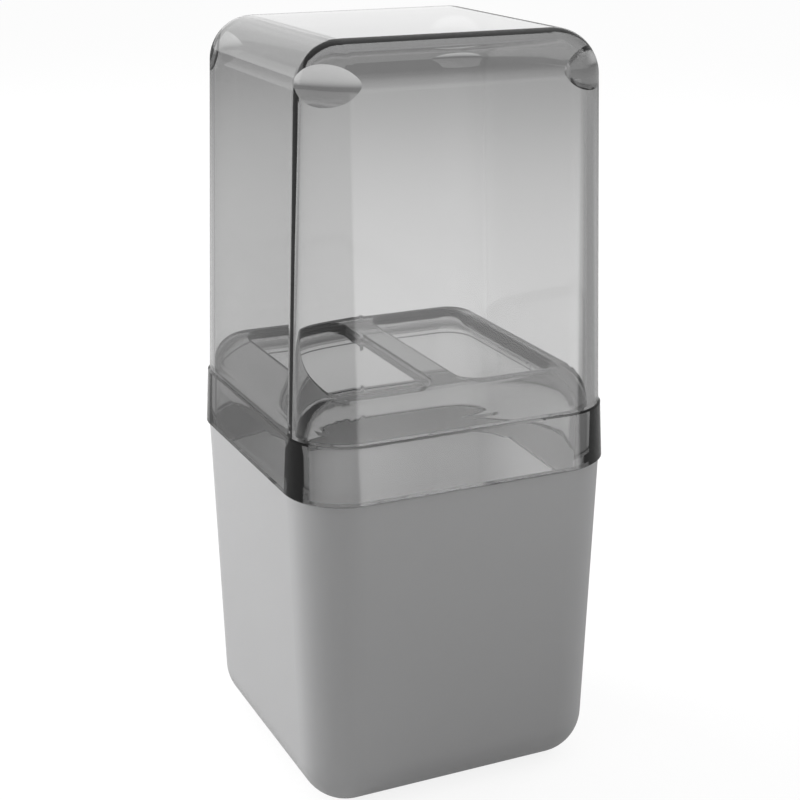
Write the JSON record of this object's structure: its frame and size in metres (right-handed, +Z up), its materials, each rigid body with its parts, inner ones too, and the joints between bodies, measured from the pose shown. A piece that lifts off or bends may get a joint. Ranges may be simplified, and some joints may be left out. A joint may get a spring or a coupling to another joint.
{
  "type": "brush holder",
  "caption": "Rounded square upright brush holder: opaque tapered cup, smoked clear divider with openings either side of a bridge, and a lift-off smoked clear cover.",
  "frame": {"origin": "middle of the flat face that the cup stands on", "axes": "+Z up through the middle of all three pieces; -Y is the front, the divider's bridge runs along Y and its openings lie to -X and +X of it"},
  "size_m": [0.0858, 0.0858, 0.1921],
  "materials": {
    "grey_plastic": "satin moulded plastic",
    "smoked_divider": "polished clear smoked plastic",
    "smoked_cover": "polished clear smoked plastic"
  },
  "bodies": {
    "cup": {"cup": "grey_plastic"},
    "divider": {"divider": "smoked_divider"},
    "cover": {"cover": "smoked_cover"}
  },
  "joints": [
    {"name": "divider_lift", "type": "slide", "parent": "cup", "child": "divider", "axis": [0, 0, 1], "range_m": [0, 0.1]},
    {"name": "cover_lift", "type": "slide", "parent": "divider", "child": "cover", "axis": [0, 0, 1], "range_m": [0, 0.12]}
  ]
}
